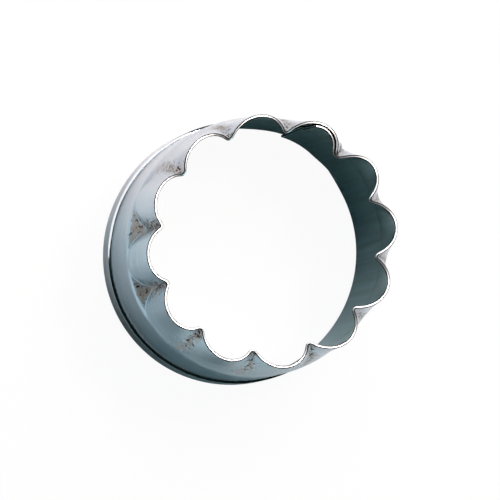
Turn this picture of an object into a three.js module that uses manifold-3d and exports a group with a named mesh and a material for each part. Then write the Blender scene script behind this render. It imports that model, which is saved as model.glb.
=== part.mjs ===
// Fluted round pastry cutter: a thin strip bent into a ring, its ends lapped and spot welded,
// one edge pressed into flutes for cutting and the other bound by a folded rim.
// Millimetres. +Z is the ring's axis, from the rim it stands on up to the cutting edge.
// Crests of the flutes lie on the X and Y axes, and the lap is at the back, on the +Y side.

import * as THREE from 'three';
import { mergeVertices } from 'three/addons/utils/BufferGeometryUtils.js';
import Module from 'manifold-3d';

// Ring
const height = 40; // rim seat to cutting edge
const wallDiameter = 66; // outside of the plain wall
const edgeDiameter = 64; // outside, across the crests at the cutting edge
const sheet = 0.65; // thickness of the strip

// Flutes
const fluteCount = 12;
const fluteDepth = 4.2; // crest to valley at the cutting edge
const fluteLength = 17; // cutting edge down to the fold line, where the valleys end
const crestLength = 13; // cutting edge down to where a crest meets the wall
const valleyBend = 1; // bend radius of a valley, at mid sheet
const runOutAngle = 45; // degrees from the axis, where a valley runs out into the wall

// Lap of the strip's ends
const lapLength = 10.6; // along the wall
const lapGap = 0.35; // between the two layers
const lapEase = 8; // run over which the inner layer steps in
const lapSpring = 0.4; // how far the inner layer's free end stands away
const lapSpringRun = 3; // length of that free end
const lapCrestAngle = 90; // degrees, the crest that the lap crosses
const lapFoot = 6; // the inner layer starts this high, cut back where the rim is folded

// Spot welds in the lap
const weldCount = 3;
const weldDiameter = 3;
const weldClearance = 0.1; // weld face to each layer
const weldInset = 4.2; // from the outer layer's end to the row of welds

// Folded rim
const rimSheet = 0.55;
const rimLeg = 6.4; // height of the fold outside the wall
const rimClearance = 0.15; // fold to wall
const rimCorner = 0.6; // outside radius of the fold's bend
const rimShoulderWidth = 0.45; // the leg's top slopes off towards the wall
const rimShoulderHeight = 0.5;
const rimJointAngle = 297; // degrees, where the rim's own ends meet
const rimJointGap = 0.4;

// Facets
const crestSteps = 10;
const bendSteps = 3; // each half of a valley bend
const rimSegments = 96;
const rimCornerSteps = 4;
const weldSegments = 24;
const mergeDistance = 1e-4; // points nearer than this are one point
const cutMargin = 1; // how far a cutting block reaches past the piece

// Worked out from the sizes above
const rad = THREE.MathUtils.degToRad;
const wallRadius = (wallDiameter - sheet) / 2; // mid sheet, as all radii below
const crestRadius = (edgeDiameter - sheet) / 2;
const halfPitch = Math.PI / fluteCount;
const foldHeight = height - fluteLength;
const bandFoot = rimSheet + rimClearance;
const lapStep = sheet + lapGap;

const wasm = await Module();
wasm.setup();

const steel = new THREE.MeshStandardMaterial({ color: 0xa9b4bd, roughness: 0.25, metalness: 1 });
const rimSteel = new THREE.MeshStandardMaterial({ color: 0x9aa0a8, roughness: 0.3, metalness: 1 });
const weldSteel = new THREE.MeshStandardMaterial({ color: 0x8a7f74, roughness: 0.5, metalness: 1 });

// A solid for cutting, from a closed geometry.
function toSolid(geometry) {
  const bare = geometry.clone();
  bare.deleteAttribute('normal');
  bare.deleteAttribute('uv');
  const merged = mergeVertices(bare, mergeDistance);
  return new wasm.Manifold(new wasm.Mesh({
    numProp: 3,
    vertProperties: new Float32Array(merged.attributes.position.array),
    triVerts: new Uint32Array(merged.index.array),
  }));
}

function toGeometry(solid) {
  const mesh = solid.getMesh();
  const geometry = new THREE.BufferGeometry();
  geometry.setAttribute('position', new THREE.BufferAttribute(mesh.vertProperties, 3));
  geometry.setIndex(new THREE.BufferAttribute(mesh.triVerts, 1));
  geometry.computeVertexNormals();
  return geometry;
}

// One flute at the cutting edge, seen from above with its crest on +X: a round lobe with half a
// valley bend at each end. The lobe's radius follows from the crest, the valley and its bend.
function flutePlan() {
  const bendCentre = crestRadius - fluteDepth + valleyBend;
  const across = bendCentre * Math.sin(halfPitch);
  const along = bendCentre * Math.cos(halfPitch);
  const rise = crestRadius - along;
  const lobeRadius = (rise ** 2 + across ** 2 - valleyBend ** 2) / (2 * (rise + valleyBend));
  const lobeCentre = crestRadius - lobeRadius;
  const lobeSweep = Math.atan2(across, along - lobeCentre);
  const plan = [];
  const addBend = (side, from, to) => {
    for (let i = 0; i < bendSteps; i++) {
      const angle = THREE.MathUtils.lerp(from, to, i / bendSteps);
      const normal = new THREE.Vector2(Math.cos(angle), Math.sin(angle));
      const point = new THREE.Vector2(along, side * across).addScaledVector(normal, -valleyBend);
      plan.push({ point, normal });
    }
  };
  addBend(-1, -halfPitch, -lobeSweep);
  for (let i = 0; i < crestSteps; i++) {
    const angle = lobeSweep * (2 * i / crestSteps - 1);
    const normal = new THREE.Vector2(Math.cos(angle), Math.sin(angle));
    const point = new THREE.Vector2(lobeCentre, 0).addScaledVector(normal, lobeRadius);
    plan.push({ point, normal });
  }
  addBend(1, lobeSweep, halfPitch);
  return plan;
}

// How far the strip lies from its own middle path, at a turn measured from its outer end.
function layerOffset(turn) {
  const fullTurn = 2 * Math.PI;
  const end = fullTurn + lapLength / wallRadius;
  const ease = THREE.MathUtils.smoothstep(turn, fullTurn - lapEase / wallRadius, fullTurn);
  const springTurn = lapSpringRun / wallRadius;
  const spring = THREE.MathUtils.smoothstep(turn, end - springTurn, end + springTurn);
  return -lapStep * ease - 2 * lapSpring * spring; // the spring is half done at the end
}

// Plan points along the whole strip, from the outer end in a valley, once round and under itself.
function stripColumns() {
  const flute = flutePlan();
  const start = rad(lapCrestAngle) - halfPitch;
  const end = 2 * Math.PI + lapLength / wallRadius;
  const columns = [];
  const origin = new THREE.Vector2();
  for (let i = 0; ; i++) {
    const { point, normal } = flute[i % flute.length];
    const crest = 2 * halfPitch * Math.floor(i / flute.length);
    const turn = Math.atan2(point.y, point.x) + halfPitch + crest;
    if (turn > end) {
      break;
    }
    const angle = start + halfPitch + crest;
    columns.push({
      point: point.clone().rotateAround(origin, angle),
      normal: normal.clone().rotateAround(origin, angle),
      offset: layerOffset(turn),
      foot: turn > 2 * Math.PI - lapEase / wallRadius ? lapFoot : bandFoot,
    });
  }
  return columns;
}

// The four points of one face of the strip in one column: cutting edge, end of the flute, fold
// line and foot. The flute widens downwards until it meets the wall, or in a valley the run-out
// cone that starts from the wall at the fold line.
function columnPoints({ point, normal, foot }, offset) {
  const slope = Math.tan(rad(runOutAngle));
  const coneShift = offset * Math.hypot(1, slope);
  const widening = (wallRadius / crestRadius - 1) / crestLength;
  const edge = point.clone().addScaledVector(normal, offset);
  const radius = edge.length();
  const wall = wallRadius + offset;
  const fold = foldHeight + (coneShift - offset) / slope;
  const coneReach = wall + slope * fold - radius * (1 + widening * height);
  const coneMeet = coneReach / (slope - radius * widening);
  const wallMeet = height - (wall / radius - 1) / widening;
  const fluteEnd = Math.max(coneMeet, wallMeet);
  const at = (r, z) => [edge.x * r / radius, edge.y * r / radius, z];
  return [
    at(radius, height),
    at(radius * (1 + widening * (height - fluteEnd)), fluteEnd),
    at(wall, fold),
    at(wall, foot),
  ];
}

// The strip as one closed body: an outer and an inner face, joined along its four borders.
function bandGeometry() {
  const columns = stripColumns();
  const rows = 4;
  const positions = [];
  for (const side of [1, -1]) {
    for (const column of columns) {
      columnPoints(column, column.offset + side * sheet / 2).forEach((p) => positions.push(...p));
    }
  }
  const inside = columns.length * rows;
  const index = [];
  const quad = (a, b, c, d) => index.push(a, b, c, a, c, d);
  const last = columns.length - 1;
  for (let j = 0; j < last; j++) {
    const here = j * rows;
    const next = here + rows;
    for (let i = 0; i < rows - 1; i++) {
      quad(here + i, here + i + 1, next + i + 1, next + i);
      quad(inside + here + i, inside + next + i, inside + next + i + 1, inside + here + i + 1);
    }
    quad(here, next, inside + next, inside + here);
    const foot = rows - 1;
    quad(here + foot, inside + here + foot, inside + next + foot, next + foot);
  }
  for (let i = 0; i < rows - 1; i++) {
    const end = last * rows + i;
    quad(i, inside + i, inside + i + 1, i + 1);
    quad(end, end + 1, inside + end + 1, inside + end);
  }
  const geometry = new THREE.BufferGeometry();
  geometry.setAttribute('position', new THREE.Float32BufferAttribute(positions, 3));
  geometry.setIndex(index);
  geometry.computeVertexNormals();
  return geometry;
}

// The rim's section: a leg outside the wall with a sloped shoulder, turned in at the bottom under the
// strip's edge as far as the wall's inside.
function rimGeometry() {
  const outer = wallDiameter / 2 + rimClearance + rimSheet;
  const inner = wallDiameter / 2 - sheet;
  const section = new THREE.Path();
  section.moveTo(outer - rimSheet, rimLeg);
  section.lineTo(outer - rimSheet, rimSheet);
  section.lineTo(inner, rimSheet);
  section.lineTo(inner, 0);
  section.lineTo(outer - rimCorner, 0);
  section.absarc(outer - rimCorner, rimCorner, rimCorner, 1.5 * Math.PI, 2 * Math.PI);
  section.lineTo(outer, rimLeg - rimShoulderHeight);
  section.lineTo(outer - rimShoulderWidth, rimLeg);
  section.lineTo(outer - rimSheet, rimLeg);
  const hoop = new THREE.LatheGeometry(section.getPoints(rimCornerSteps), rimSegments);
  hoop.rotateX(Math.PI / 2);
  const joint = new THREE.BoxGeometry(
    outer - inner + 2 * cutMargin, rimJointGap, rimLeg + 2 * cutMargin);
  joint.translate((outer + inner) / 2, 0, rimLeg / 2);
  joint.rotateZ(rad(rimJointAngle));
  return toGeometry(toSolid(hoop).subtract(toSolid(joint)));
}

// A weld is the flat disc of fused metal between the two layers.
function weldMesh(number) {
  const disc = new THREE.CylinderGeometry(
    weldDiameter / 2, weldDiameter / 2, lapGap - 2 * weldClearance, weldSegments);
  disc.rotateZ(Math.PI / 2);
  const weld = new THREE.Mesh(disc, weldSteel);
  weld.name = `lap_weld_${number}`;
  const radius = wallRadius - sheet / 2 - lapGap / 2;
  const angle = rad(lapCrestAngle) - halfPitch + weldInset / wallRadius;
  const spacing = (foldHeight - lapFoot) / weldCount;
  const level = lapFoot + spacing * (number - 0.5);
  weld.position.set(radius * Math.cos(angle), radius * Math.sin(angle), level);
  weld.rotation.z = angle;
  return weld;
}

const band = new THREE.Mesh(bandGeometry(), steel);
band.name = 'fluted_band';

const rim = new THREE.Mesh(rimGeometry(), rimSteel);
rim.name = 'folded_rim';

const cutter = new THREE.Group();
cutter.add(band, rim);
for (let number = 1; number <= weldCount; number++) {
  cutter.add(weldMesh(number));
}

export default cutter;
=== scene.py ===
import math

import bpy
from mathutils import Matrix, Vector


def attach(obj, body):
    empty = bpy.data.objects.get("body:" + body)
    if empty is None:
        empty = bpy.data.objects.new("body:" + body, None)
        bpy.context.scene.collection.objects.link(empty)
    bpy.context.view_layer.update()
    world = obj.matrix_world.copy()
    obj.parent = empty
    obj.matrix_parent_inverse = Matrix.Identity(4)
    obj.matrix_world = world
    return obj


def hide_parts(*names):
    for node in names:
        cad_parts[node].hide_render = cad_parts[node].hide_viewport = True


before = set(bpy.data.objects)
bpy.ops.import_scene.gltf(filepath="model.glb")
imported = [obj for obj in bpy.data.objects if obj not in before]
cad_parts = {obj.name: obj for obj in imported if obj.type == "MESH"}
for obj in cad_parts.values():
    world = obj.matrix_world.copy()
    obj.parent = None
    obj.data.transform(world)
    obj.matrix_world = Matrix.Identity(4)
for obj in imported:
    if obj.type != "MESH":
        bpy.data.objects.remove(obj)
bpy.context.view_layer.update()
mm = 0.001
sharpAngle = math.radians(40)  # a bend that is tighter than this shows as a crease


def toLinear(hexColour):
    parts = [int(hexColour[i:i + 2], 16) / 255 for i in (1, 3, 5)]
    return [c / 12.92 if c <= 0.04045 else ((c + 0.055) / 1.055) ** 2.4 for c in parts] + [1.0]


# adds one node, sets its properties, then its inputs: an output socket is linked, a value is set
def addNode(tree, kind, settings=None, inputs=None):
    node = tree.nodes.new(kind)
    for name, value in (settings or {}).items():
        setattr(node, name, value)
    for key, value in (inputs or {}).items():
        if isinstance(value, bpy.types.NodeSocket):
            tree.links.new(value, node.inputs[key])
        else:
            node.inputs[key].default_value = value
    return node


def newMaterial(name):
    material = bpy.data.materials.new(name)
    material.use_nodes = True
    tree = material.node_tree
    tree.nodes.clear()
    shader = addNode(tree, "ShaderNodeBsdfPrincipled")
    addNode(tree, "ShaderNodeOutputMaterial", inputs={"Surface": shader.outputs[0]})
    return material, tree, shader


# the ring has been squeezed a little out of round, and its foot bulges by the lap
ring = {
    "outOfRound": 0.02,         # share by which it is longer one way and shorter the other
    "longAxis": 55.0,           # degrees
    "bulge": 1.3,               # mm, at the foot
    "bulgeAngle": 81.0,         # degrees, its middle
    "bulgeReach": 30.0,         # degrees, to each side
    "bulgeTop": 50.0,           # mm, the height at which it would end
}


def squeezeRing(mesh):
    a = math.radians(ring["longAxis"])
    turn = Matrix.Rotation(a, 4, "Z")
    stretch = Matrix.Diagonal((1 + ring["outOfRound"], 1 - ring["outOfRound"], 1, 1))
    mesh.transform(turn @ stretch @ turn.inverted())
    for vertex in mesh.vertices:
        x, y, z = vertex.co
        away = (math.degrees(math.atan2(y, x)) - ring["bulgeAngle"]) / ring["bulgeReach"]
        if abs(away) < 1:
            push = ring["bulge"] * mm * math.cos(away * math.pi / 2) ** 2
            push *= 1 - z / (ring["bulgeTop"] * mm)
            vertex.co *= Vector((1 + push / math.hypot(x, y), 1 + push / math.hypot(x, y), 1))


def makePiece(name, mesh, node):
    squeezeRing(mesh)
    piece = bpy.data.objects.new(name, mesh)
    bpy.context.scene.collection.objects.link(piece)
    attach(piece, "root")
    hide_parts(node)
    return piece


# bright rolled steel strip, which looks like whatever it mirrors

steelLook = {
    "outside": "#B4BDC8",       # the side that was polished
    "coolShade": "#A5C4D3",          # the same, painted cooler and darker: painted shade on the side of the ring that lies in the key's shadow
    "stain": "#B4A9A0",         # greyish brown in the valleys and on crisp facets: painted warm reflection
    "speck": "#3A3733",         # dark specks in the puckers at the valley bottoms near the cutting edge and on crisp facets
    "inside": "#A0C4C9",        # a little duller, never polished, and tinted greener as painted shade
    "edge": "#F2F3F5",          # bare sheared metal
    "cutCornerShade": "#171513",          # both corners of the cut, painted near black: painted shade along the edge
    "rim": "#A9B2BE",
    # the rim's own painted shade, on the same side
    "rimCoolShade": "#9CB8C2",
    "fold": "#EAECF0",          # the rim's shoulder, painted much lighter than the rim: a painted highlight for its white band
    "bandGloss": (0.2, 0.3),    # roughness, least and most
    "rimGloss": (0.05, 0.1),
    "insideGloss": (0.2, 0.3),
    "edgeRoughness": 0.42,
    "streakLength": 9.0,        # mm, rolling streaks, coarser than real ones so that they show
    "streakWidth": 0.8,
    "millLength": 40.0,         # mm, streaks on the inside, which run up the wall
    "millWidth": 1.25,
    "gritWidth": 0.625,         # mm, tears in the cut edge
    "crinkleWidth": 0.85,       # mm, puckers where the sheet was pressed in
    "stainWidth": 3.0,          # mm, size of a patch of the painted warm reflection
    "coolShadeAngle": 252.0,         # degrees, the middle of the painted shade, round the ring
    "coolShadeRadius": 33.0,         # mm, radius of the wall that it is laid on
}


# rolled and polished tinned steel: a soft mirror with faint streaks along the strip, with painted shade
# on its shaded side and a painted warm reflection in the valleys
def outsideSteel(name, colour, coolShade, leastRough, mostRough):
    material, tree, shader = newMaterial(name)
    strip = addNode(tree, "ShaderNodeAttribute", {"attribute_name": "stripPlace"})
    valley = addNode(tree, "ShaderNodeAttribute", {"attribute_name": "valley"})
    cusp = addNode(tree, "ShaderNodeAttribute", {"attribute_name": "cusp"})
    lines = addNode(tree, "ShaderNodeMapping", {"vector_type": "POINT"},
                    {"Vector": strip.outputs["Vector"],
                     "Scale": (1 / (steelLook["streakLength"] * mm),
                               1 / (steelLook["streakWidth"] * mm), 1.0)})
    streak = addNode(tree, "ShaderNodeTexNoise", {},
                     {"Vector": lines.outputs[0], "Scale": 1.0, "Detail": 3.0, "Roughness": 0.6})
    cloud = addNode(tree, "ShaderNodeTexNoise", {},
                    {"Vector": strip.outputs["Vector"],
                     "Scale": 1 / (steelLook["stainWidth"] * mm), "Detail": 4.0, "Roughness": 0.6})
    crinkle = addNode(tree, "ShaderNodeTexNoise", {},
                      {"Vector": strip.outputs["Vector"],
                       "Scale": 1 / (steelLook["crinkleWidth"] * mm), "Detail": 2.0,
                       "Roughness": 0.55, "Distortion": 0.8})
    tone = addNode(tree, "ShaderNodeMapRange", {},
                   {"Value": streak.outputs[0], "From Min": 0.3, "From Max": 0.7,
                    "To Min": 0.72, "To Max": 1.04})
    place = addNode(tree, "ShaderNodeTexCoord")
    # painted shade: the steel turns cooler and darker towards the shaded side of the ring, laid on by
    # object coordinates
    a, radius = math.radians(steelLook["coolShadeAngle"]), steelLook["coolShadeRadius"] * mm
    towards = addNode(tree, "ShaderNodeVectorMath", {"operation": "DOT_PRODUCT"},
                      {0: place.outputs["Object"],
                       1: (math.cos(a) / radius, math.sin(a) / radius, 0.0)})
    inCoolShade = addNode(tree, "ShaderNodeMapRange", {"interpolation_type": "SMOOTHSTEP"},
                     {"Value": towards.outputs["Value"], "From Min": 0.05, "From Max": 0.75})
    bare = addNode(tree, "ShaderNodeMix", {"data_type": "RGBA"},
                   {"Factor": inCoolShade.outputs[0], "A": toLinear(colour), "B": toLinear(coolShade)})
    steel = addNode(tree, "ShaderNodeMix", {"data_type": "RGBA", "blend_type": "MULTIPLY"},
                    {"Factor": 1.0, "A": bare.outputs["Result"], "B": tone.outputs[0]})
    # the noise eats into the painted warm reflection and the puckered places
    patch = addNode(tree, "ShaderNodeMath", {"operation": "MULTIPLY_ADD"},
                    {0: cloud.outputs[0], 1: 2.5, 2: valley.outputs["Fac"]})
    stain = addNode(tree, "ShaderNodeMapRange", {},
                    {"Value": patch.outputs[0], "From Min": 1.7, "From Max": 2.4,
                     "To Min": 0.0, "To Max": 0.8})
    pucker = addNode(tree, "ShaderNodeMath", {"operation": "MULTIPLY"},
                     {0: cusp.outputs["Fac"], 1: crinkle.outputs[0]})
    mark = addNode(tree, "ShaderNodeMath", {"operation": "MULTIPLY_ADD"},
                   {0: crinkle.outputs[0], 1: 4.0, 2: cusp.outputs["Fac"]})
    speck = addNode(tree, "ShaderNodeMapRange", {},
                    {"Value": mark.outputs[0], "From Min": 2.92, "From Max": 3.05,
                     "To Min": 0.0, "To Max": 0.95})
    # painted warm reflection: greyish brown laid over the valleys and crisp facets, which are also made
    # rougher
    withWarmReflection = addNode(tree, "ShaderNodeMix", {"data_type": "RGBA"},
                      {"Factor": stain.outputs[0], "A": steel.outputs["Result"],
                       "B": toLinear(steelLook["stain"])})
    colourOut = addNode(tree, "ShaderNodeMix", {"data_type": "RGBA"},
                        {"Factor": speck.outputs[0], "A": withWarmReflection.outputs["Result"],
                         "B": toLinear(steelLook["speck"])})
    gloss = addNode(tree, "ShaderNodeMapRange", {},
                    {"Value": streak.outputs[0], "To Min": leastRough, "To Max": mostRough})
    rough = addNode(tree, "ShaderNodeMath", {"operation": "MULTIPLY_ADD"},
                    {0: stain.outputs[0], 1: 0.45, 2: gloss.outputs[0]})
    bumpFine = addNode(tree, "ShaderNodeBump", {},
                       {"Height": streak.outputs[0], "Strength": 0.25, "Distance": 0.02 * mm})
    bump = addNode(tree, "ShaderNodeBump", {},
                   {"Height": pucker.outputs[0], "Strength": 0.8, "Distance": 0.3 * mm,
                    "Normal": bumpFine.outputs[0]})
    shader.inputs["Metallic"].default_value = 1.0
    tree.links.new(colourOut.outputs["Result"], shader.inputs["Base Color"])
    tree.links.new(rough.outputs[0], shader.inputs["Roughness"])
    tree.links.new(bump.outputs[0], shader.inputs["Normal"])
    return material


# the same strip's other side: mill finish, dull, with darker streaks, in a greener tint that is painted
# shade
def insideSteel(name, colour, leastRough, mostRough):
    material, tree, shader = newMaterial(name)
    strip = addNode(tree, "ShaderNodeAttribute", {"attribute_name": "stripPlace"})
    lines = addNode(tree, "ShaderNodeMapping", {"vector_type": "POINT"},
                    {"Vector": strip.outputs["Vector"],
                     "Scale": (1 / (steelLook["millWidth"] * mm),
                               1 / (steelLook["millLength"] * mm), 1.0)})
    streak = addNode(tree, "ShaderNodeTexNoise", {},
                     {"Vector": lines.outputs[0], "Scale": 1.0, "Detail": 3.0, "Roughness": 0.6})
    tone = addNode(tree, "ShaderNodeMapRange", {},
                   {"Value": streak.outputs[0], "From Min": 0.3, "From Max": 0.7,
                    "To Min": 0.65, "To Max": 1.0})
    steel = addNode(tree, "ShaderNodeMix", {"data_type": "RGBA", "blend_type": "MULTIPLY"},
                    {"Factor": 1.0, "A": toLinear(colour), "B": tone.outputs[0]})
    rough = addNode(tree, "ShaderNodeMapRange", {},
                    {"Value": streak.outputs[0], "To Min": leastRough, "To Max": mostRough})
    bump = addNode(tree, "ShaderNodeBump", {},
                   {"Height": streak.outputs[0], "Strength": 0.25, "Distance": 0.03 * mm})
    shader.inputs["Metallic"].default_value = 1.0
    tree.links.new(steel.outputs["Result"], shader.inputs["Base Color"])
    tree.links.new(rough.outputs[0], shader.inputs["Roughness"])
    tree.links.new(bump.outputs[0], shader.inputs["Normal"])
    return material


# sheared edge: torn bright metal, rough enough to look white from most sides; the near-black copy on
# the cut's corners is painted shade
def edgeSteel(name, colour):
    material, tree, shader = newMaterial(name)
    place = addNode(tree, "ShaderNodeTexCoord")
    grit = addNode(tree, "ShaderNodeTexNoise", {},
                   {"Vector": place.outputs["Object"], "Scale": 1 / (steelLook["gritWidth"] * mm),
                    "Detail": 2.0})
    tone = addNode(tree, "ShaderNodeMapRange", {},
                   {"Value": grit.outputs[0], "From Min": 0.35, "From Max": 0.65,
                    "To Min": 0.8, "To Max": 1.0})
    steel = addNode(tree, "ShaderNodeMix", {"data_type": "RGBA", "blend_type": "MULTIPLY"},
                    {"Factor": 1.0, "A": toLinear(colour), "B": tone.outputs[0]})
    bump = addNode(tree, "ShaderNodeBump", {},
                   {"Height": grit.outputs[0], "Strength": 0.3, "Distance": 0.05 * mm})
    shader.inputs["Metallic"].default_value = 1.0
    shader.inputs["Roughness"].default_value = steelLook["edgeRoughness"]
    tree.links.new(steel.outputs["Result"], shader.inputs["Base Color"])
    tree.links.new(bump.outputs[0], shader.inputs["Normal"])
    return material


outside = outsideSteel("polishedRolledSteel", steelLook["outside"], steelLook["coolShade"],
                       *steelLook["bandGloss"])
inside = insideSteel("millFinishSteelWithPaintedShade", steelLook["inside"], *steelLook["insideGloss"])
edge = edgeSteel("shearedSteelEdge", steelLook["edge"])
cutCornerShade = edgeSteel("cutCornerPaintedShade", steelLook["cutCornerShade"])
rimSteel = outsideSteel("foldedRimSteel", steelLook["rim"], steelLook["rimCoolShade"],
                        *steelLook["rimGloss"])
# a lighter copy of the rim steel: painted highlight on the shoulder
highlightFoldSteel = outsideSteel("foldSteelPaintedHighlight", steelLook["fold"], steelLook["fold"],
                         *steelLook["rimGloss"])
print("materials made")

# fluted band: one strip, once round and lapped under itself

band = {
    # mm, as are all lengths here
    "height": 40.0, "wallDiameter": 66.0, "edgeDiameter": 64.0, "sheet": 0.7,
    "foot": 0.58,               # the strip's lower edge stands this high, on the rim
    "fluteCount": 12,
    "fluteDepth": 4.2,          # crest to valley at the cutting edge
    "foldHeight": 23.0,         # where the valleys end
    "valleyBend": 1.0,          # bend radius of a valley
    "valleyDrift": 0.95,        # how far the valleys lie off centre, and which way
    "driftAngle": 203.0,
    "crestLength": 17.0,        # cutting edge down to where a crest meets the wall
    "leanPower": 3.0,           # a crest leans most at its lower end, less so on the crisp side
    "crispLean": 1.2,
    "fadePower": 3.0,           # how fast a soft valley runs out
    "facetRound": 0.25,         # rounding of a crisp facet, and its fall for each mm of rise
    "facetSlope": 1.0,
    "crispAngle": 204.0,        # degrees, the middle of the crisp side
    "crispNone": 0.75,          # cosines of the angle from there, where it is gone and where full
    "crispFull": 0.95,
    "foldSoft": 0.3,            # rounding of the fold line
    "valleyWarmReflection": 0.85,        # strength of the painted warm reflection, and of the roughening with it, in a valley and on a crisp facet
    "facetWarmReflection": 0.95,
    "warmReflectionReach": 0.5,          # share of half a flute, and height above the fold for its full strength
    "warmReflectionRise": 4.0,
    "facetBlend": 0.6,          # depth and height over which the warm reflection on a facet sets in
    "foldBlend": 0.8,
    "softWear": 0.85,           # strength of the marks in soft and crisp valleys and on a crisp facet
    "crispWear": 1.25,
    "facetWear": 0.65,
    "wearReach": 0.45,          # share of half a flute, and heights above the fold, none to full
    "wearFrom": 2.0,
    "wearTo": 9.0,
    "lapLength": 10.6,
    "lapGap": 0.12,
    "lapEase": 8.0,             # run over which the inner layer steps in
    "lapSlant": 1.3,            # the inner layer's end is this much shorter at the foot
    "lapCrestAngle": 90.0,      # degrees, the crest that the lap crosses
    "columnsPerFlute": 40, "rows": 64,
    "plainRows": 0.14,          # share of the rows on the plain wall
    "plainMargin": 2.0,         # the close rows start this far below the fold
    "edgeBevel": 0.21, "bevelAngle": 60.0,
}


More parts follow.
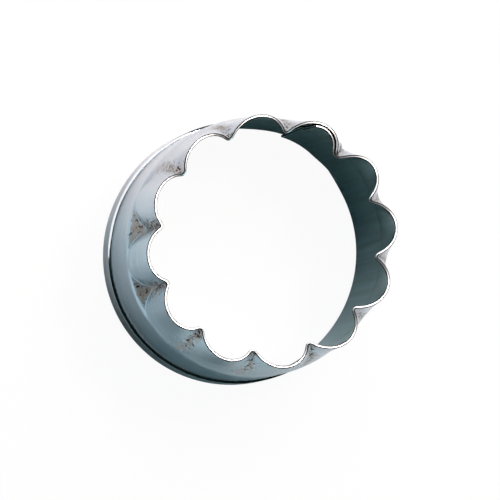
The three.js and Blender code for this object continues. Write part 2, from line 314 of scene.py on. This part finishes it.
def bandTree(material, values):
    tree = bpy.data.node_groups.new("flutedBand", "GeometryNodeTree")
    tree.interface.new_socket("Geometry", in_out="OUTPUT", socket_type="NodeSocketGeometry")
    sockets = {}
    for name, value in values.items():
        kind = "NodeSocketInt" if isinstance(value, int) else "NodeSocketFloat"
        sockets[name] = tree.interface.new_socket(name, in_out="INPUT", socket_type=kind).identifier
    given = addNode(tree, "NodeGroupInput")
    value = {name: given.outputs[name] for name in values}

    grid = addNode(tree, "GeometryNodeMeshGrid", {},
                   {"Size X": 1.0, "Size Y": 1.0, "Vertices X": value["columns"],
                    "Vertices Y": value["rows"]})
    place = addNode(tree, "GeometryNodeInputPosition")
    split = addNode(tree, "ShaderNodeSeparateXYZ", {}, {0: place.outputs[0]})
    value["x"], value["y"] = split.outputs[0], split.outputs[1]

    # rows are wide on the plain wall and close in the flutes
    plain = addNode(tree, "ShaderNodeMapRange", {"clamp": True},
                    {"Value": value["y"], "From Min": -0.5, "From Max": value["plainRows"],
                     "To Min": value["foot"], "To Max": value["plainTop"]})
    fluted = addNode(tree, "ShaderNodeMapRange", {"clamp": True},
                     {"Value": value["y"], "From Min": value["plainRows"], "From Max": 0.5,
                      "To Min": 0.0, "To Max": value["flutedRise"]})
    value["plain"], value["fluted"] = plain.outputs[0], fluted.outputs[0]

    # each line: new value, operation, what goes in
    steps = [
        ("z", "ADD", "plain", "fluted"),
        ("below", "SUBTRACT", "height", "z"),
        # the end under the lap is cut on a slant, short at the foot
        ("along", "ADD", "x", 0.5),
        ("whole", "MULTIPLY", "along", "fullTurn"),
        ("pastStart", "SUBTRACT", "whole", 2 * math.pi),
        ("underLap", "MAXIMUM", "pastStart", 0.0),
        ("slant", "MULTIPLY", "below", "lapSlant"),
        ("cut", "MULTIPLY", "underLap", "slant"),
        ("turn", "SUBTRACT", "whole", "cut"),
        ("angle", "ADD", "turn", "startAngle"),
        ("pitch", "MULTIPLY", "halfPitch", 2.0),
        ("inFlute", "FLOORED_MODULO", "turn", "pitch"),
        ("phi", "SUBTRACT", "inFlute", "halfPitch"),
        ("phiSize", "ABSOLUTE", "phi"),
        ("psi", "SUBTRACT", "halfPitch", "phiSize"),
        # lobe: centre * cos + sqrt(radius^2 - (centre * sin)^2)
        ("phiCos", "COSINE", "phi"),
        ("phiSin", "SINE", "phi"),
        ("lobeAlong", "MULTIPLY", "lobeCentre", "phiCos"),
        ("lobeAcross", "MULTIPLY", "lobeCentre", "phiSin"),
        ("lobeAcross2", "MULTIPLY", "lobeAcross", "lobeAcross"),
        ("lobeRadius2", "MULTIPLY", "lobeRadius", "lobeRadius"),
        ("lobeRest", "SUBTRACT", "lobeRadius2", "lobeAcross2"),
        ("lobeRoot", "SQRT", "lobeRest"),
        ("lobe", "ADD", "lobeAlong", "lobeRoot"),
        # valley bend: centre * cos - sqrt(radius^2 - (centre * sin)^2)
        ("psiCos", "COSINE", "psi"),
        ("psiSin", "SINE", "psi"),
        ("bendAlong", "MULTIPLY", "bendCentre", "psiCos"),
        ("bendAcross", "MULTIPLY", "bendCentre", "psiSin"),
        ("bendAcross2", "MULTIPLY", "bendAcross", "bendAcross"),
        ("bendRadius2", "MULTIPLY", "bendRadius", "bendRadius"),
        ("bendRest", "SUBTRACT", "bendRadius2", "bendAcross2"),
        ("bendSafe", "MAXIMUM", "bendRest", 0.0),
        ("bendRoot", "SQRT", "bendSafe"),
        ("bend", "SUBTRACT", "bendAlong", "bendRoot"),
        ("inBend", "LESS_THAN", "psi", "bendReach"),
        ("toBend", "SUBTRACT", "bend", "lobe"),
        ("edgeRadius", "MULTIPLY_ADD", "inBend", "toBend", "lobe"),
    ]
    for name, operation, *inputs in steps:
        node = addNode(tree, "ShaderNodeMath", {"operation": operation},
                       {i: value[v] if isinstance(v, str) else v for i, v in enumerate(inputs)})
        value[name] = node.outputs[0]

    ease = addNode(tree, "ShaderNodeMapRange", {"interpolation_type": "SMOOTHSTEP"},
                   {"Value": value["turn"], "From Min": value["easeFrom"],
                    "From Max": value["easeTo"], "To Max": value["lapStep"]})
    # the pressing is crisp on one side of the ring and soft round the rest
    fromCrisp = addNode(tree, "ShaderNodeMath", {"operation": "SUBTRACT"},
                        {0: value["angle"], 1: value["crispAngle"]})
    facing = addNode(tree, "ShaderNodeMath", {"operation": "COSINE"}, {0: fromCrisp.outputs[0]})
    crisp = addNode(tree, "ShaderNodeMapRange", {"interpolation_type": "SMOOTHSTEP"},
                    {"Value": facing.outputs[0], "From Min": value["crispNone"],
                     "From Max": value["crispFull"]})
    value["crisp"] = crisp.outputs[0]
    steps = [
        ("down", "DIVIDE", "below", "crestLength"),
        ("leanLess", "MULTIPLY", "crisp", "leanDrop"),
        ("lean", "SUBTRACT", "leanPower", "leanLess"),
        ("leaning", "POWER", "down", "lean"),
        ("spread", "MULTIPLY_ADD", "leaning", "widening", 1.0),
        ("flute", "MULTIPLY", "edgeRadius", "spread"),
        ("aboveFold", "SUBTRACT", "z", "foldHeight"),
        # soft: a valley runs out little by little
        ("rise", "DIVIDE", "aboveFold", "crestLength"),
        ("riseSafe", "MAXIMUM", "rise", 0.0),
        ("fade", "POWER", "riseSafe", "fadePower"),
        ("crestLine", "MULTIPLY", "crestRadius", "spread"),
        ("depth", "SUBTRACT", "crestLine", "flute"),
        ("faded", "MULTIPLY", "depth", "fade"),
        ("soft", "SUBTRACT", "crestLine", "faded"),
        # crisp: a valley ends in a slanted facet
        ("coneFall", "MULTIPLY", "aboveFold", "facetSlope"),
        ("cone", "SUBTRACT", "wallRadius", "coneFall"),
        ("facetDepth", "SUBTRACT", "cone", "flute"),
        ("sharp", "SMOOTH_MAX", "flute", "cone", "facetRound"),
        ("toSharp", "SUBTRACT", "sharp", "soft"),
        ("pressed", "MULTIPLY_ADD", "crisp", "toSharp", "soft"),
        ("radius", "SMOOTH_MIN", "pressed", "wallRadius", "foldSoft"),
        ("angleCos", "COSINE", "angle"),
        ("angleSin", "SINE", "angle"),
        # the valleys were pressed a little off centre, deeper on one side of the ring
        ("pit", "SUBTRACT", "crestLine", "pressed"),
        ("pitSafe", "MAXIMUM", "pit", 0.0),
        ("evenX", "MULTIPLY", "radius", "angleCos"),
        ("evenY", "MULTIPLY", "radius", "angleSin"),
        ("px", "MULTIPLY_ADD", "pitSafe", "driftX", "evenX"),
        ("py", "MULTIPLY_ADD", "pitSafe", "driftY", "evenY"),
        ("stripRun", "MULTIPLY", "turn", "wallRadius"),
    ]
    for name, operation, *inputs in steps:
        node = addNode(tree, "ShaderNodeMath", {"operation": operation},
                       {i: value[v] if isinstance(v, str) else v for i, v in enumerate(inputs)})
        value[name] = node.outputs[0]

    # near a valley where it is pressed in, and on the facet where it runs out
    nearValley = addNode(tree, "ShaderNodeMapRange", {"interpolation_type": "SMOOTHSTEP"},
                         {"Value": value["psi"], "From Max": value["valleyReach"],
                          "To Min": value["valleyWarmReflection"], "To Max": 0.0})
    pressedIn = addNode(tree, "ShaderNodeMapRange", {"interpolation_type": "SMOOTHSTEP"},
                        {"Value": value["aboveFold"], "From Min": 0.0, "From Max": value["warmReflectionRise"]})
    onFacet = addNode(tree, "ShaderNodeMapRange", {"interpolation_type": "SMOOTHSTEP"},
                      {"Value": value["facetDepth"], "From Min": 0.0, "From Max": value["facetBlend"],
                       "To Max": value["facetWarmReflection"]})
    aboveFold = addNode(tree, "ShaderNodeMapRange", {"interpolation_type": "SMOOTHSTEP"},
                        {"Value": value["aboveFold"], "From Min": 0.0, "From Max": value["foldBlend"]})
    ridge = addNode(tree, "ShaderNodeMath", {"operation": "MULTIPLY"},
                    {0: nearValley.outputs[0], 1: pressedIn.outputs[0]})
    facet = addNode(tree, "ShaderNodeMath", {"operation": "MULTIPLY"},
                    {0: onFacet.outputs[0], 1: aboveFold.outputs[0]})
    crispFacet = addNode(tree, "ShaderNodeMath", {"operation": "MULTIPLY"},
                         {0: facet.outputs[0], 1: value["crisp"]})
    valley = addNode(tree, "ShaderNodeMath", {"operation": "MAXIMUM"},
                     {0: ridge.outputs[0], 1: crispFacet.outputs[0]})
    # puckered at the cutting edge, in the bottom of a valley, and less so on a crisp facet
    atBottom = addNode(tree, "ShaderNodeMapRange", {"interpolation_type": "SMOOTHSTEP"},
                       {"Value": value["psi"], "From Max": value["cuspReach"], "To Min": 1.0,
                        "To Max": 0.0})
    nearEdge = addNode(tree, "ShaderNodeMapRange", {"interpolation_type": "SMOOTHSTEP"},
                       {"Value": value["aboveFold"], "From Min": value["wearFrom"],
                        "From Max": value["wearTo"]})
    worn = addNode(tree, "ShaderNodeMapRange", {},
                   {"Value": value["crisp"], "To Min": value["softWear"],
                    "To Max": value["crispWear"]})
    bottom = addNode(tree, "ShaderNodeMath", {"operation": "MULTIPLY"},
                     {0: atBottom.outputs[0], 1: worn.outputs[0]})
    atEdge = addNode(tree, "ShaderNodeMath", {"operation": "MULTIPLY"},
                     {0: bottom.outputs[0], 1: nearEdge.outputs[0]})
    onFacets = addNode(tree, "ShaderNodeMath", {"operation": "MULTIPLY"},
                       {0: crispFacet.outputs[0], 1: value["facetWear"]})
    cusp = addNode(tree, "ShaderNodeMath", {"operation": "MAXIMUM"},
                   {0: atEdge.outputs[0], 1: onFacets.outputs[0]})
    stripPlace = addNode(tree, "ShaderNodeCombineXYZ", {}, {0: value["stripRun"], 1: value["z"]})
    marked = addNode(tree, "GeometryNodeStoreNamedAttribute",
                     {"data_type": "FLOAT", "domain": "POINT"},
                     {"Geometry": grid.outputs["Mesh"], "Name": "valley",
                      "Value": valley.outputs[0]})
    puckered = addNode(tree, "GeometryNodeStoreNamedAttribute",
                       {"data_type": "FLOAT", "domain": "POINT"},
                       {"Geometry": marked.outputs[0], "Name": "cusp", "Value": cusp.outputs[0]})
    placed = addNode(tree, "GeometryNodeStoreNamedAttribute",
                     {"data_type": "FLOAT_VECTOR", "domain": "POINT"},
                     {"Geometry": puckered.outputs[0], "Name": "stripPlace",
                      "Value": stripPlace.outputs[0]})
    inward = addNode(tree, "GeometryNodeStoreNamedAttribute",
                     {"data_type": "FLOAT", "domain": "POINT"},
                     {"Geometry": placed.outputs[0], "Name": "layerStep", "Value": ease.outputs[0]})
    point = addNode(tree, "ShaderNodeCombineXYZ", {}, {0: value["px"], 1: value["py"],
                                                       2: value["z"]})
    shaped = addNode(tree, "GeometryNodeSetPosition", {},
                     {"Geometry": inward.outputs[0], "Position": point.outputs[0]})
    layer = addNode(tree, "GeometryNodeInputNamedAttribute", {"data_type": "FLOAT"},
                    {"Name": "layerStep"})
    normal = addNode(tree, "GeometryNodeInputNormal")
    back = addNode(tree, "ShaderNodeVectorMath", {"operation": "SCALE"},
                   {0: normal.outputs[0], "Scale": layer.outputs[0]})
    lapped = addNode(tree, "GeometryNodeSetPosition", {},
                     {"Geometry": shaped.outputs[0], "Offset": back.outputs[0]})
    smooth = addNode(tree, "GeometryNodeSetShadeSmooth", {}, {"Geometry": lapped.outputs[0]})
    whole = addNode(tree, "GeometryNodeRealizeInstances", {}, {"Geometry": smooth.outputs[0]})
    steel = addNode(tree, "GeometryNodeSetMaterial", {},
                    {"Geometry": whole.outputs[0], "Material": material})
    addNode(tree, "NodeGroupOutput", {}, {0: steel.outputs[0]})
    return tree, sockets


def makeBand():
    wallRadius = (band["wallDiameter"] - band["sheet"]) / 2
    crestRadius = (band["edgeDiameter"] - band["sheet"]) / 2
    halfPitch = math.pi / band["fluteCount"]
    bendCentre = crestRadius - band["fluteDepth"] + band["valleyBend"]
    across = bendCentre * math.sin(halfPitch)
    rise = crestRadius - bendCentre * math.cos(halfPitch)
    lobeRadius = (rise ** 2 + across ** 2 - band["valleyBend"] ** 2) / (2 * (rise + band["valleyBend"]))
    lobeCentre = crestRadius - lobeRadius
    # where a lobe turns into a valley bend, as an angle from the valley
    sweep = math.atan2(across, crestRadius - rise - lobeCentre)
    bendReach = halfPitch - math.atan2(lobeRadius * math.sin(sweep),
                                       lobeCentre + lobeRadius * math.cos(sweep))
    fullTurn = 2 * math.pi + band["lapLength"] / wallRadius
    drift, driftAngle = band["valleyDrift"] / band["fluteDepth"], math.radians(band["driftAngle"])
    plainTop = band["foldHeight"] - band["plainMargin"]
    values = {
        "columns": int(band["columnsPerFlute"] * fullTurn / (2 * halfPitch)) + 1,
        "rows": band["rows"], "plainRows": band["plainRows"] - 0.5,
        "fullTurn": fullTurn, "halfPitch": halfPitch,
        "startAngle": math.radians(band["lapCrestAngle"]) - halfPitch,
        "lobeCentre": lobeCentre * mm, "lobeRadius": lobeRadius * mm,
        "bendCentre": bendCentre * mm, "bendRadius": band["valleyBend"] * mm,
        "bendReach": bendReach,
        "valleyReach": band["warmReflectionReach"] * halfPitch, "cuspReach": band["wearReach"] * halfPitch,
        "valleyWarmReflection": band["valleyWarmReflection"], "facetWarmReflection": band["facetWarmReflection"],
        "warmReflectionRise": band["warmReflectionRise"] * mm, "facetBlend": band["facetBlend"] * mm,
        "foldBlend": band["foldBlend"] * mm,
        "wearFrom": band["wearFrom"] * mm, "wearTo": band["wearTo"] * mm,
        "height": band["height"] * mm, "foldHeight": band["foldHeight"] * mm,
        "foot": band["foot"] * mm,
        "plainTop": plainTop * mm, "flutedRise": (band["height"] - plainTop) * mm,
        "wallRadius": wallRadius * mm, "crestRadius": crestRadius * mm,
        "widening": wallRadius / crestRadius - 1, "crestLength": band["crestLength"] * mm,
        "leanPower": band["leanPower"], "leanDrop": band["leanPower"] - band["crispLean"],
        "fadePower": band["fadePower"], "facetSlope": band["facetSlope"],
        "facetRound": band["facetRound"] * mm,
        "crispAngle": math.radians(band["crispAngle"]),
        "crispNone": band["crispNone"], "crispFull": band["crispFull"],
        "foldSoft": band["foldSoft"] * mm,
        "softWear": band["softWear"], "crispWear": band["crispWear"],
        "facetWear": band["facetWear"],
        "driftX": drift * math.cos(driftAngle), "driftY": drift * math.sin(driftAngle),
        "easeFrom": 2 * math.pi - band["lapEase"] / wallRadius, "easeTo": 2 * math.pi,
        "lapStep": -(band["sheet"] + band["lapGap"]) * mm,
        "lapSlant": band["lapSlant"] / band["lapLength"] / (band["height"] * mm),
    }
    mesh = bpy.data.meshes.new("bandSeed")
    seed = bpy.data.objects.new("bandSeed", mesh)
    bpy.context.scene.collection.objects.link(seed)
    for material in (None, outside, inside, edge, cutCornerShade):
        mesh.materials.append(material)
    tree, sockets = bandTree(outside, values)
    nodes = seed.modifiers.new("flutes", "NODES")
    nodes.node_group = tree
    for name, identifier in sockets.items():
        nodes[identifier] = values[name]
    wall = seed.modifiers.new("sheet", "SOLIDIFY")
    wall.thickness = band["sheet"] * mm
    wall.offset = 0.0
    wall.use_even_offset = True
    wall.material_offset = 1
    wall.material_offset_rim = 2
    corner = seed.modifiers.new("edgeBevel", "BEVEL")
    corner.width = band["edgeBevel"] * mm
    corner.segments = 1
    corner.limit_method = "ANGLE"
    corner.angle_limit = math.radians(band["bevelAngle"])
    # the bevel faces take the near-black steel, a painted dark outline along the cut
    corner.material = 4
    bpy.context.view_layer.update()
    done = bpy.data.meshes.new_from_object(seed.evaluated_get(bpy.context.evaluated_depsgraph_get()))
    done.name = "flutedBand"
    bpy.data.objects.remove(seed)
    done.materials.pop(index=0)  # the nodes leave an empty first slot
    for material in (inside, edge, cutCornerShade):
        done.materials.append(material)
    done.set_sharp_from_angle(angle=sharpAngle)
    return makePiece("flutedBand", done, "fluted_band")


bandPiece = makeBand()
print("band", len(bandPiece.data.polygons), "faces")

# folded rim: a hoop outside the foot of the band, turned in under it, with its own butt joint

rim = {
    # mm, the first three are radii
    "outside": 33.6,
    "face": 33.03,              # the leg's inner face, on the wall
    "inside": 32.35,            # how far in it is turned under the wall
    "sheet": 0.55, "leg": 6.4, "corner": 0.4, "footCorner": 0.15,
    "shoulderTop": 33.08,       # radius at the top of the slope
    "shoulderAngle": 52.0,      # degrees
    "shoulderRound": 0.08,
    "jointAngle": 297.0,        # degrees, where the rim's own ends meet
    "jointGap": 0.4,
    "segments": 240, "cornerSteps": 6,
}


def arcPoints(cx, cz, radius, fromAngle, toAngle, steps):
    points = []
    for i in range(steps + 1):
        a = math.radians(fromAngle + (toAngle - fromAngle) * i / steps)
        points.append((cx + radius * math.cos(a), cz + radius * math.sin(a)))
    return points


def makeRim():
    outer, inner, sheet, leg = (rim[k] for k in ("outside", "inside", "sheet", "leg"))
    corner, foot, steps = (rim[k] for k in ("corner", "footCorner", "cornerSteps"))
    top, soft, lean = rim["shoulderTop"], rim["shoulderRound"], rim["shoulderAngle"]
    rise = (outer - soft - top) / math.tan(math.radians(lean))
    section = arcPoints(outer - corner, corner, corner, -90, 0, steps)
    section += arcPoints(outer - soft, leg - soft - rise, soft, 0, lean, steps)
    section += arcPoints(top, leg - soft, soft, lean, 90, steps)
    section += [(rim["face"], leg), (rim["face"], sheet), (inner, sheet)]
    section += arcPoints(inner + foot, foot, foot, 180, 270, steps)
    gap = rim["jointGap"] / ((outer + inner) / 2)
    start = math.radians(rim["jointAngle"]) + gap / 2
    count = len(section)
    verts, faces, runs = [], [], []
    for k in range(rim["segments"] + 1):
        a = start + (2 * math.pi - gap) * k / rim["segments"]
        for r, z in section:
            verts.append((r * mm * math.cos(a), r * mm * math.sin(a), z * mm))
            runs.append((a * r * mm, z * mm, 0.0))
    for k in range(rim["segments"]):
        for j in range(count):
            a, b = k * count + j, k * count + (j + 1) % count
            faces.append((a, a + count, b + count, b))
    faces.append(tuple(range(count)))
    last = rim["segments"] * count
    faces.append(tuple(last + j for j in reversed(range(count))))
    mesh = bpy.data.meshes.new("foldedRim")
    mesh.from_pydata(verts, [], faces)
    strip = mesh.attributes.new("stripPlace", "FLOAT_VECTOR", "POINT")
    strip.data.foreach_set("vector", [x for run in runs for x in run])
    for name in ("valley", "cusp"):
        mesh.attributes.new(name, "FLOAT", "POINT")
    for material in (rimSteel, highlightFoldSteel):
        mesh.materials.append(material)
    # the shoulder faces take the lighter steel, a painted highlight
    for polygon in mesh.polygons:
        polygon.use_smooth = True
        onShoulder = steps < polygon.index % count < 3 * steps + 2
        polygon.material_index = 1 if onShoulder and polygon.index < last else 0
    mesh.set_sharp_from_angle(angle=sharpAngle)
    return makePiece("foldedRim", mesh, "folded_rim")


rimPiece = makeRim()
print("rim", len(rimPiece.data.polygons), "faces")

# spot welds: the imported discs, moved with the squeezed ring

weldLook = {
    "nugget": "#8F8276", "halo": "#5C6478",
    "haloWidth": 1.1,           # mm
    "roughness": 0.45,
}


# blued and browned by the heat: dull, cloudy colours
def heatTintedSteel(name):
    material, tree, shader = newMaterial(name)
    place = addNode(tree, "ShaderNodeTexCoord")
    cloud = addNode(tree, "ShaderNodeTexNoise", {},
                    {"Vector": place.outputs["Object"], "Scale": 1 / (weldLook["haloWidth"] * mm),
                     "Detail": 3.0})
    tint = addNode(tree, "ShaderNodeMix", {"data_type": "RGBA"},
                   {"Factor": cloud.outputs[0], "A": toLinear(weldLook["nugget"]),
                    "B": toLinear(weldLook["halo"])})
    bump = addNode(tree, "ShaderNodeBump", {},
                   {"Height": cloud.outputs[0], "Strength": 0.3, "Distance": 0.05 * mm})
    shader.inputs["Metallic"].default_value = 1.0
    shader.inputs["Roughness"].default_value = weldLook["roughness"]
    tree.links.new(tint.outputs["Result"], shader.inputs["Base Color"])
    tree.links.new(bump.outputs[0], shader.inputs["Normal"])
    return material


weldSteel = heatTintedSteel("heatTintedWeldSteel")
for name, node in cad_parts.items():
    if name.startswith("lap_weld"):
        disc = node.data.copy()
        disc.transform(node.matrix_world)
        disc.materials.clear()
        disc.materials.append(weldSteel)
        makePiece(name.replace("lap_weld_", "lapWeld"), disc, name)
print("welds tinted")

# camera: nearly straight down the ring, leaning to the side that shows its outside

shot = {
    "imageSize": 500,           # pixels
    "tilt": 15.5,               # degrees off the ring's axis
    "leanAngle": 40.8,          # degrees, the camera leans away from this side
    "roll": 17.5,
    "distance": 1350.0,         # mm
    "pixelsPerMm": 3.99,
    "middle": (252.6, 247.8),   # pixel that shows the middle of the ring
    "sensor": 36.0,
}


def makeCamera():
    tilt, lean, roll = (math.radians(shot[k]) for k in ("tilt", "leanAngle", "roll"))
    up = Vector((0, 0, 1))
    away = Vector((math.cos(lean), math.sin(lean), 0))
    across = up.cross(away)
    back = math.cos(tilt) * up - math.sin(tilt) * away
    rising = math.cos(tilt) * away + math.sin(tilt) * up
    imageRight = math.cos(roll) * rising - math.sin(roll) * across
    imageUp = math.sin(roll) * rising + math.cos(roll) * across
    data = bpy.data.cameras.new("camera")
    data.sensor_width = shot["sensor"]
    data.lens = shot["pixelsPerMm"] * shot["distance"] * shot["sensor"] / shot["imageSize"]
    data.clip_start, data.clip_end = 0.01, 20.0
    half = shot["imageSize"] / 2
    right = (shot["middle"][0] - half) / shot["pixelsPerMm"]
    above = (half - shot["middle"][1]) / shot["pixelsPerMm"]
    target = Vector((0, 0, band["height"] / 2)) - right * imageRight - above * imageUp
    camera = bpy.data.objects.new("camera", data)
    bpy.context.scene.collection.objects.link(camera)
    turn = Matrix((imageRight, imageUp, back)).transposed()
    camera.matrix_world = Matrix.Translation((target + back * shot["distance"]) * mm) @ turn.to_4x4()
    bpy.context.scene.camera = camera


makeCamera()
print("camera set")

# studio: pale floor, a small key high up, a softbox, a strip for the rim to mirror, a low cool fill

studio = {
    "floor": "#F2F2F2", "floorSize": 3.0, "cameraWhite": 0.95, "mirrorWhite": 0.005,
    "skyDark": "#071513", "skyPale": "#465A5E", "paleAzimuth": 140.0, "paleElevation": 34.8,
    # azimuth, elevation, distance, width, height, power, colour
    "key": (60.0, 69.0, 0.8, 0.14, 0.14, 2.8, "#FFF3E8"),
    "side": (99.0, 51.0, 0.6, 0.5, 0.5, 4.1, "#FAF4F6"),
    "strip": (159.0, 22.5, 0.6, 0.9, 0.2, 0.73, "#FFFFFF"),
    "fill": (352.0, 20.0, 0.6, 0.4, 0.25, 1.3, "#B8E6F2"),
}


def makeFloor():
    half = studio["floorSize"] / 2
    mesh = bpy.data.meshes.new("floor")
    mesh.from_pydata([(-half, -half, 0), (half, -half, 0), (half, half, 0), (-half, half, 0)], [],
                     [(0, 1, 2, 3)])
    material = bpy.data.materials.new("paleFloor")
    material.use_nodes = True
    tree = material.node_tree
    tree.nodes.clear()
    path = addNode(tree, "ShaderNodeLightPath")
    paper = addNode(tree, "ShaderNodeBsdfDiffuse", {}, {"Color": toLinear(studio["floor"])})
    white = addNode(tree, "ShaderNodeEmission", {}, {"Strength": 1.0})
    seen = addNode(tree, "ShaderNodeMath", {"operation": "MULTIPLY"},
                   {0: path.outputs["Is Camera Ray"], 1: studio["cameraWhite"]})
    mirrored = addNode(tree, "ShaderNodeMath", {"operation": "MAXIMUM"},
                       {0: path.outputs["Is Glossy Ray"], 1: path.outputs["Is Transmission Ray"]})
    share = addNode(tree, "ShaderNodeMath", {"operation": "MULTIPLY_ADD"},
                    {0: mirrored.outputs[0], 1: studio["mirrorWhite"], 2: seen.outputs[0]})
    mix = addNode(tree, "ShaderNodeMixShader", {},
                  {0: share.outputs[0], 1: paper.outputs[0], 2: white.outputs[0]})
    addNode(tree, "ShaderNodeOutputMaterial", {}, {"Surface": mix.outputs[0]})
    mesh.materials.append(material)
    floor = bpy.data.objects.new("floor", mesh)
    bpy.context.scene.collection.objects.link(floor)


def makeLamp(name, azimuth, elevation, distance, width, height, power, colour):
    data = bpy.data.lights.new(name, "AREA")
    data.shape = "RECTANGLE"
    data.size, data.size_y = width, height
    data.energy = power
    data.color = toLinear(colour)[:3]
    a, e = math.radians(azimuth), math.radians(elevation)
    toLamp = Vector((math.cos(a) * math.cos(e), math.sin(a) * math.cos(e), math.sin(e)))
    lamp = bpy.data.objects.new(name, data)
    bpy.context.scene.collection.objects.link(lamp)
    lamp.location = toLamp * distance
    lamp.rotation_euler = toLamp.to_track_quat("Z", "Y").to_euler()


def makeWorld():
    world = bpy.data.worlds.new("studio")
    bpy.context.scene.world = world
    world.use_nodes = True
    tree = world.node_tree
    tree.nodes.clear()
    place = addNode(tree, "ShaderNodeTexCoord")
    # paler overhead and on one side, dark behind the camera
    a, e = math.radians(studio["paleAzimuth"]), math.radians(studio["paleElevation"])
    toPale = (math.cos(a) * math.cos(e), math.sin(a) * math.cos(e), math.sin(e))
    towards = addNode(tree, "ShaderNodeVectorMath", {"operation": "DOT_PRODUCT"},
                      {0: place.outputs["Generated"], 1: toPale})
    rise = addNode(tree, "ShaderNodeMapRange", {"interpolation_type": "SMOOTHSTEP"},
                   {"Value": towards.outputs["Value"], "From Min": 0.45, "From Max": 0.95})
    sky = addNode(tree, "ShaderNodeMix", {"data_type": "RGBA"},
                  {"Factor": rise.outputs[0], "A": toLinear(studio["skyDark"]),
                   "B": toLinear(studio["skyPale"])})
    path = addNode(tree, "ShaderNodeLightPath")
    shown = addNode(tree, "ShaderNodeMix", {"data_type": "RGBA"},
                    {"Factor": path.outputs["Is Camera Ray"], "A": sky.outputs["Result"],
                     "B": (1.0, 1.0, 1.0, 1.0)})
    light = addNode(tree, "ShaderNodeBackground", {}, {"Color": shown.outputs["Result"]})
    addNode(tree, "ShaderNodeOutputWorld", {}, {"Surface": light.outputs[0]})


makeFloor()
for name in ("key", "side", "strip", "fill"):
    makeLamp(name, *studio[name])
makeWorld()
bpy.context.scene.view_settings.view_transform = "Standard"
print("studio lit")
